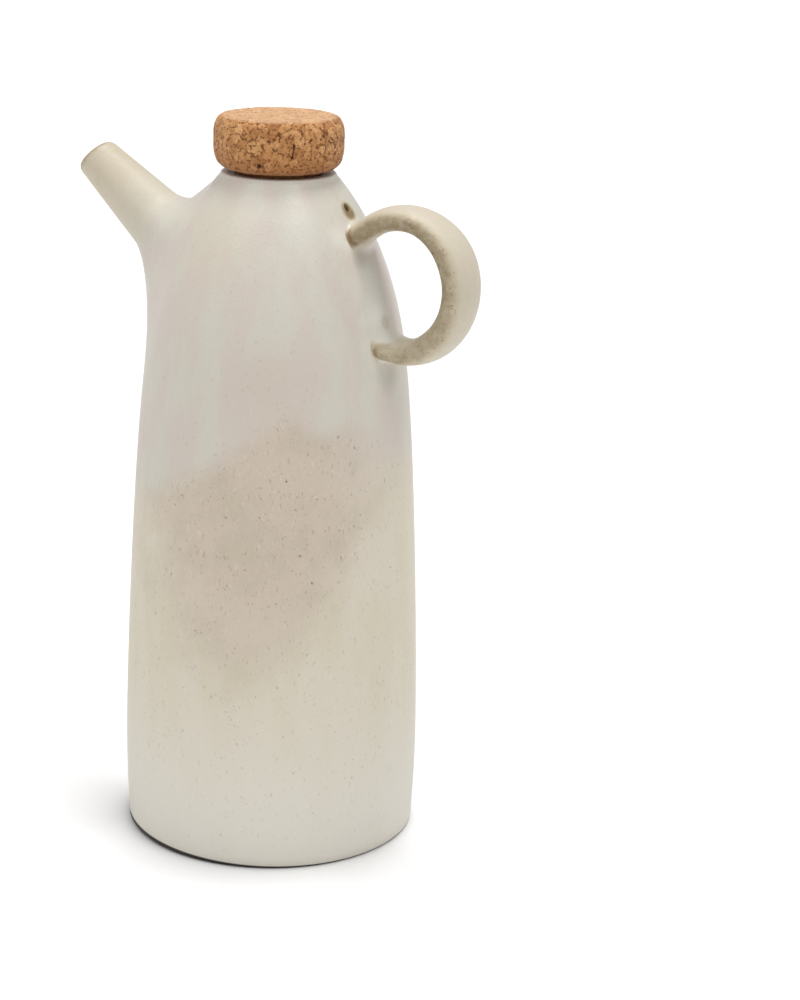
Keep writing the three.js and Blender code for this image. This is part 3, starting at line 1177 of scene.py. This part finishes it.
        # Each round tint is glaze gathered there, painted light or painted shadow, as listed with the tints.
        for tint_patch in self.pools_and_painted_shading:
            away = self.away(ground, self.wall.spot(tint_patch.turn, tint_patch.height))
            tint_share = add_node(tree, "MapRange", (away, tint_patch.size + mean, mean, 0.0, tint_patch.depth), **SOFT)
            colour = add_node(tree, "Mix", {SHARE: tint_share, UNDER: colour, OVER: linear(tint_patch.tint)}, **COLOURS)
        return self.specked(ground, upper, blush, colour)

    def away(self, ground: Ground, middle: Sequence[float]) -> bpy.types.Node:
        """The distance from a place, pushed about by the drift of the glaze.

        Args:
            ground: What the coats are laid out by.
            middle: The place.

        Returns:
            The node that gives the distance.
        """
        tree = ground.tree
        away = add_node(tree, "VectorMath", (ground.place, middle), operation="DISTANCE").outputs["Value"]
        return add_node(tree, "Math", (ground.drift, self.push, away), operation="MULTIPLY_ADD")

    @staticmethod
    def curve(tree: bpy.types.NodeTree, share: bpy.types.Node, spots: Sequence[tuple]) -> bpy.types.Node:
        """Runs a value through a curve given point by point.

        Args:
            tree: The material's nodes.
            share: The value, from 0 to 1.
            spots: The points of the curve, each from 0 to 1 both ways.

        Returns:
            The node that gives the curve's height.
        """
        node = add_node(tree, "FloatCurve", {"Value": share})
        points = node.mapping.curves[0].points
        points[0].location, points[1].location = spots[0], spots[-1]
        for spot in spots[1:-1]:
            points.new(*spot)
        node.mapping.update()
        return node

    def hem_share(self, ground: Ground) -> bpy.types.Node:
        """How far the upper coat covers the lower one, above its wavy hem.

        Args:
            ground: What the coats are laid out by.

        Returns:
            The node that gives the share.
        """
        tree, mean = ground.tree, self.push / 2
        left, right = self.hem[0][0], self.hem[-1][0]
        spots = [((u - left) / (right - left), (z - self.hem_low) / self.hem_rise) for u, z in self.hem]
        share = add_node(tree, "MapRange", (ground.across, left + mean, right + mean))
        hem = self.curve(tree, share, spots)
        edge = add_node(tree, "Math", (hem, -self.hem_rise, ground.height), operation="MULTIPLY_ADD")
        edge = add_node(tree, "Math", (ground.drift, self.push, edge), operation="MULTIPLY_ADD")
        return add_node(tree, "MapRange", (edge, self.hem_low - 0.5, self.hem_low + 9.0), **SOFT)

    def flush_share(self, ground: Ground) -> bpy.types.Node:
        """How far the warm flush tints the lower coat.

        Args:
            ground: What the coats are laid out by.

        Returns:
            The node that gives the share.
        """
        tree, height = ground.tree, ground.height
        low, high = self.flush[0][0], self.flush[-1][0]
        spots = [((z - low) / (high - low), wide / self.flush_wide) for z, wide in self.flush]
        flush = self.curve(tree, add_node(tree, "MapRange", (height, low, high)), spots)
        lean = add_node(tree, "Math", (height, -0.12, ground.across), operation="MULTIPLY_ADD")
        lean = add_node(tree, "Math", (lean, 13.4), operation="ADD")
        lean = add_node(tree, "Math", (lean,), operation="ABSOLUTE")
        inside = add_node(tree, "Math", (flush, self.flush_wide), operation="MULTIPLY")
        inside = add_node(tree, "Math", (inside, lean), operation="SUBTRACT")
        inside = add_node(tree, "Math", (ground.drift, 26.0, inside), operation="MULTIPLY_ADD")
        blush = add_node(tree, "MapRange", (inside, 2.0, 28.0), **SOFT)
        paling = add_node(tree, "MapRange", (height, 45.0, 95.0, 0.35), **SOFT)
        return add_node(tree, "Math", (blush, paling), operation="MULTIPLY")

    def lower_coat(self, ground: Ground, blush: bpy.types.Node) -> bpy.types.Node:
        """The lower coat: cream, veiled under the hem, flushed in the middle and chalky at the base.

        Args:
            ground: What the coats are laid out by.
            blush: How far the flush tints it.

        Returns:
            The node that gives the colour.
        """
        tree, height = ground.tree, ground.height
        colour = {SHARE: ground.cloud, UNDER: linear(self.cream), OVER: linear(self.butter)}
        colour = add_node(tree, "Mix", colour, **COLOURS)
        veil = add_node(tree, "MapRange", (height, 105.0, 138.0), **SOFT)
        colour = add_node(tree, "Mix", {SHARE: veil, UNDER: colour, OVER: linear(self.rosy)}, **COLOURS)
        dusky = add_node(tree, "MapRange", (ground.drift, 0.38, 0.64), **SOFT)
        core = {SHARE: dusky, UNDER: linear(self.pink), OVER: linear(self.dusk)}
        core = add_node(tree, "Mix", core, **COLOURS)
        colour = add_node(tree, "Mix", {SHARE: blush, UNDER: colour, OVER: core}, **COLOURS)
        base = add_node(tree, "MapRange", (height, 66.0, 10.0, 0.0, 0.9), **SOFT)
        return add_node(tree, "Mix", {SHARE: base, UNDER: colour, OVER: linear(self.chalk)}, **COLOURS)

    def upper_coat(self, ground: Ground) -> bpy.types.Node:
        """The upper coat: pale, clouded with rose, and pink where it blooms.

        Args:
            ground: What the coats are laid out by.

        Returns:
            The node that gives the colour.
        """
        tree = ground.tree
        bloom = add_node(tree, "MapRange", (self.away(ground, self.bloom), 22.0, 9.0), **SOFT)
        cloud = add_node(tree, "Math", (ground.cloud, bloom), operation="MAXIMUM")
        colour = {SHARE: cloud, UNDER: linear(self.pale), OVER: linear(self.rosy)}
        colour = add_node(tree, "Mix", colour, **COLOURS)
        bloom = add_node(tree, "Math", (bloom, 0.35), operation="MULTIPLY")
        return add_node(tree, "Mix", {SHARE: bloom, UNDER: colour, OVER: linear(self.pink)}, **COLOURS)

    def specked(
        self, ground: Ground, upper: bpy.types.Node, blush: bpy.types.Node, colour: bpy.types.Node
    ) -> bpy.types.Node:
        """Scatters pale threads and brown specks, fewer on the upper coat and at the base.

        Args:
            ground: What the coats are laid out by.
            upper: How far the upper coat covers the lower one.
            blush: How far the flush tints the lower coat.
            colour: The colour of the coats.

        Returns:
            The node that gives the colour.
        """
        tree, place = ground.tree, ground.place
        showing = add_node(tree, "MapRange", (upper, 0.0, 1.0, 1.0, 0.35))
        dense = add_node(tree, "TexNoise", {"Vector": place, "Scale": 1 / self.thick, "Detail": 2.0})
        for limits in ((ground.height, 5.0, 60.0, 0.4), (blush, 0.0, 1.0, 0.65), (dense, 0.35, 0.6, 0.6)):
            share = add_node(tree, "MapRange", limits)
            showing = add_node(tree, "Math", (showing, share), operation="MULTIPLY")
        wander = add_node(tree, "TexNoise", {"Vector": place, "Scale": 1 / self.wander, "Detail": 2.0})
        wander = (wander.outputs["Color"], (4, 4, 2), place)
        wander = add_node(tree, "VectorMath", wander, operation="MULTIPLY_ADD")
        for wide, tall, low, depth, tint in (
            (0.9, 2.4, 0.6, 0.4, self.chalk),
            (0.8, 2.2, 0.63, 0.5, self.speck),
            (1.1, 1.5, 0.66, 1.0, self.speck),
        ):
            thread = add_node(tree, "Mapping", {"Vector": wander, "Scale": (1 / wide, 1 / wide, 1 / tall)})
            tick = add_node(tree, "TexNoise", {"Vector": thread, "Scale": 1.0, "Detail": 2.0})
            tick = add_node(tree, "MapRange", (tick, low, low + 0.13, 0.0, depth))
            tick = add_node(tree, "Math", (tick, showing), operation="MULTIPLY")
            colour = add_node(tree, "Mix", {SHARE: tick, UNDER: colour, OVER: linear(tint)}, **COLOURS)
        return colour


@dataclass(frozen=True)
class PressedCork:
    """Pressed cork granules, turned and sanded: tan grains of many tones with dark gaps between them."""

    seat: float
    top: float
    name: str = "pressed_cork"
    light: str = "d6a470"
    middle: str = "bd8855"
    # The darkest granule tone, also used as the painted shade low on the head.
    dark: str = "9a643a"
    seam: str = "693b1b"
    gap: str = "3f220d"
    sanded: str = "e2bd97"
    fray: float = 0.9
    fine: float = 0.6
    patchy: float = 1.1

    def material(self) -> bpy.types.Material:
        """Makes the material.

        Returns:
            The material.
        """
        # Cork granules of 1 to 3 mm, pressed into a block, turned and sanded: a dull skin of close tan tones
        # with thin brown seams, a dark pit where granules leave a gap, and a paler crown where the sanding
        # went deepest. The head is darkened towards its underside as painted shade.
        made, place = start_material(self.name)
        tree = made.node_tree
        depth = add_node(tree, "Attribute", attribute_name=GAP).outputs["Fac"]
        fray = add_node(tree, "TexNoise", {"Vector": place, "Scale": 1 / self.fray, "Detail": 3.0})
        bent = (fray.outputs["Color"], (0.5, 0.5, 0.5), place)
        bent = add_node(tree, "VectorMath", bent, operation="MULTIPLY_ADD")
        fine = {"Vector": place, "Scale": 1 / self.fine, "Detail": 6.0, "Roughness": 0.75}
        fine = add_node(tree, "TexNoise", fine)
        height = add_node(tree, "SeparateXYZ", (place,)).outputs["Z"]
        crown = add_node(tree, "MapRange", (height, self.top - 0.6, self.top - 0.05, 0.0, 0.5), **SOFT)
        rubbed = add_node(tree, "MapRange", (crown, 0.0, 0.5, 1.0, 0.45))
        tones = self.tones(tree, bent, fine)
        colour = add_node(tree, "Mix", {SHARE: crown, UNDER: tones, OVER: linear(self.sanded)}, **COLOURS)
        # Painted shade: the head darkens towards its underside, where it turns down over the bottle's mouth.
        painted_shade_low = add_node(tree, "MapRange", (height, self.seat + 7.0, self.seat, 0.0, 0.8), **SOFT)
        colour = add_node(tree, "Mix", {SHARE: painted_shade_low, UNDER: colour, OVER: linear(self.dark)}, **COLOURS)
        part = add_node(tree, "TexNoise", {"Vector": place, "Scale": 1 / self.patchy, "Detail": 2.0})
        part = add_node(tree, "MapRange", (part, 0.46, 0.56, 0.0, 0.85), **SOFT)
        relief = add_node(tree, "Math", (fine, 0.2), operation="MULTIPLY")
        for size, wide, deep in ((2.4, 0.2, 1.0), (1.2, 0.12, 0.5)):
            cell = {"Vector": bent, "Scale": 1 / size}
            away = add_node(tree, "TexVoronoi", cell, feature="DISTANCE_TO_EDGE")
            rise = add_node(tree, "MapRange", (away, 0.0, 0.35 / size, 0.0, 0.14 * deep))
            relief = add_node(tree, "Math", (relief, rise), operation="ADD")
            seam = add_node(tree, "MapRange", (away, wide / size, 0.5 * wide / size, 0.0, deep))
            crack = add_node(tree, "Math", (seam, part), operation="MULTIPLY")
            crack = add_node(tree, "Math", (crack, rubbed), operation="MULTIPLY")
            colour = add_node(tree, "Mix", {SHARE: crack, UNDER: colour, OVER: linear(self.seam)}, **COLOURS)
        colour = self.pits(tree, bent, rubbed, colour)
        dark = add_node(tree, "MapRange", (depth, 0.3, 0.75), **SOFT)
        colour = add_node(tree, "Mix", {SHARE: dark, UNDER: colour, OVER: linear(self.gap)}, **COLOURS)
        bump = add_node(tree, "Bump", {"Strength": 0.8, "Distance": 1.0 * MM, "Height": relief})
        shader = {"Base Color": colour, "Roughness": 0.8, "Normal": bump}
        shader |= {"Sheen Weight": 0.08, "Specular IOR Level": 0.2}
        add_node(tree, "OutputMaterial", {"Surface": add_node(tree, "BsdfPrincipled", shader)})
        return made

    def tones(
        self, tree: bpy.types.NodeTree, bent: bpy.types.Node, fine: bpy.types.Node
    ) -> bpy.types.Node:
        """Gives each granule a tone of its own, broken up by a fine noise.

        Args:
            tree: The material's nodes.
            bent: The place in millimetres, frayed.
            fine: The fine noise.

        Returns:
            The node that gives the colour.
        """
        tone = add_node(tree, "Math", (fine, 0.5), operation="MULTIPLY")
        for size, weight in ((2.4, 0.2), (1.2, 0.1)):
            cell = add_node(tree, "TexVoronoi", {"Vector": bent, "Scale": 1 / size})
            shade = add_node(tree, "SeparateXYZ", (cell.outputs["Color"],)).outputs["X"]
            tone = add_node(tree, "Math", (shade, weight, tone), operation="MULTIPLY_ADD")
        ramp = add_node(tree, "ValToRGB", (add_node(tree, "MapRange", (tone, 0.24, 0.57)),))
        ramp.color_ramp.elements[0].color = linear(self.dark)
        ramp.color_ramp.elements[1].color = linear(self.light)
        ramp.color_ramp.elements.new(0.5).color = linear(self.middle)
        return ramp

    def pits(
        self, tree: bpy.types.NodeTree, bent: bpy.types.Node, rubbed: bpy.types.Node, colour: bpy.types.Node
    ) -> bpy.types.Node:
        """Dots the cork with small dark pits.

        Args:
            tree: The material's nodes.
            bent: The place in millimetres, frayed.
            rubbed: How much of them the sanding leaves.
            colour: The colour of the granules and seams.

        Returns:
            The node that gives the colour.
        """
        for gap, size, share in ((1.9, 0.34, 0.42), (3.2, 0.5, 0.55)):
            cell = add_node(tree, "TexVoronoi", {"Vector": bent, "Scale": 1 / gap}).outputs
            some = add_node(tree, "SeparateXYZ", (cell["Color"],)).outputs["Y"]
            some = add_node(tree, "MapRange", (some, 1 - share, 1.0, 0.0, 1.2))
            dot = add_node(tree, "MapRange", (cell["Distance"], 1.1 * size / gap, 0.7 * size / gap))
            dot = add_node(tree, "Math", (dot, some), operation="MULTIPLY")
            dot = add_node(tree, "Math", (dot, rubbed), operation="MULTIPLY")
            colour = add_node(tree, "Mix", {SHARE: dot, UNDER: colour, OVER: linear(self.gap)}, **COLOURS)
        return colour


@dataclass(frozen=True)
class WhitePaper:
    """Uncoated white paper."""

    name: str = "white_paper"
    white: str = "ebebeb"
    roughness: float = 0.9

    def material(self) -> bpy.types.Material:
        """Makes the material.

        Returns:
            The material.
        """
        # Uncoated paper: matte, so it takes a soft shadow and no reflection.
        made = bpy.data.materials.new(self.name)
        made.use_nodes = True
        shader = made.node_tree.nodes["Principled BSDF"]
        shader.inputs["Base Color"].default_value = linear(self.white)
        shader.inputs["Roughness"].default_value = self.roughness
        return made


@dataclass
class Studio:
    """A white table under soft light, and the camera."""

    distance: float = 733.2
    height: float = 324.0
    pitch: float = math.radians(16.74)
    yaw: float = math.radians(3.0)
    roll: float = math.radians(1.6)
    lens: float = 90.0
    sensor: float = 36.0
    tent: float = 0.57
    backdrop: float = 1.05
    table_metres: float = 12.0

    def camera(self) -> None:
        """Places the camera."""
        turn = Matrix.Rotation(FRONT, 3, "Z")
        flat, down = math.cos(self.pitch), math.sin(self.pitch)
        ahead = turn @ Vector((math.sin(self.yaw) * flat, math.cos(self.yaw) * flat, -down))
        right = turn @ Vector((math.cos(self.yaw), -math.sin(self.yaw), 0))
        up = right.cross(ahead)
        across = right * math.cos(self.roll) + up * math.sin(self.roll)
        upward = up * math.cos(self.roll) - right * math.sin(self.roll)
        data = bpy.data.cameras.new("camera")
        data.lens, data.sensor_width = self.lens, self.sensor
        data.clip_start, data.clip_end = 0.01, 50.0
        camera = bpy.data.objects.new("camera", data)
        camera.matrix_world = Matrix((across, upward, -ahead)).transposed().to_4x4()
        camera.location = turn @ Vector((0, -self.distance, self.height)) * MM
        bpy.context.scene.collection.objects.link(camera)
        bpy.context.scene.camera = camera

    def table(self) -> None:
        """Lays the white table."""
        bpy.ops.object.select_all(action="DESELECT")
        bpy.ops.mesh.primitive_plane_add(size=self.table_metres)
        table = bpy.context.object
        table.name = "white_table"
        table.data.materials.append(WhitePaper().material())

    def light(self, name: str, turn: float, rise: float, power: float, spread: float) -> None:
        """Hangs a large soft light far away.

        Args:
            name: Its name.
            turn: Its direction to the right of the camera, in degrees.
            rise: Its direction above the table, in degrees.
            power: Its strength.
            spread: How wide it looks from the bottle, in degrees.
        """
        data = bpy.data.lights.new(name, "SUN")
        data.energy, data.angle = power, math.radians(spread)
        lamp = bpy.data.objects.new(name, data)
        side, high = FRONT + math.radians(turn), math.radians(rise)
        level = Vector((math.sin(side), -math.cos(side), 0))
        towards = level * math.cos(high) + Vector((0, 0, math.sin(high)))
        lamp.rotation_euler = towards.to_track_quat("Z", "Y").to_euler()
        bpy.context.scene.collection.objects.link(lamp)

    def lights(self) -> None:
        """Sets the soft tent and the three lights."""
        scene = bpy.context.scene
        scene.view_settings.view_transform = "Standard"
        world = bpy.data.worlds.new("soft_tent")
        world.use_nodes = True
        tree = world.node_tree
        tree.nodes.clear()
        white = linear("ffffff")
        tent = add_node(tree, "Background", {"Color": white, "Strength": self.tent})
        backdrop = add_node(tree, "Background", {"Color": white, "Strength": self.backdrop})
        seen = add_node(tree, "LightPath").outputs["Is Camera Ray"]
        add_node(tree, "OutputWorld", {"Surface": add_node(tree, "MixShader", (seen, tent, backdrop))})
        scene.world = world
        self.light("left_box", -60, 60, 0.18 * math.pi, 38)
        self.light("right_box", 42, 58, 0.18 * math.pi, 24)
        self.light("top_box", 150, 83, 0.55 * math.pi, 14)


def main() -> None:
    """Builds the pieces in order."""
    logging.basicConfig(level=logging.INFO)
    wall = ThrownWall()
    vessel, spout, handle, stopper = Body(wall), Spout(wall), Handle(wall), Cork(wall.rim_height)
    glaze = StonewareGlaze("satin_stoneware_glaze", wall).material()
    strap = StonewareGlaze("satin_stoneware_glaze_on_strap", wall).material()
    cork = PressedCork(stopper.seat, stopper.top).material()
    for part, piece, node, body, slot, finish in (
        (vessel, vessel.build(spout.hole()), "body", "vessel", "glaze", glaze),
        (spout, spout.build(), "spout", "vessel", "glaze", glaze),
        (handle, handle.build(), "handle", "vessel", "ochre_glaze", strap),
        (stopper, stopper.build(), "cork_stopper", "stopper", "cork", cork),
    ):
        part.dress(piece, finish)
        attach(piece, body)
        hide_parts(node)
        log.info("%s: %d faces", piece.name, len(piece.data.polygons))
    studio = Studio()
    studio.camera()
    studio.table()
    studio.lights()


if __name__ == "__main__":
    main()
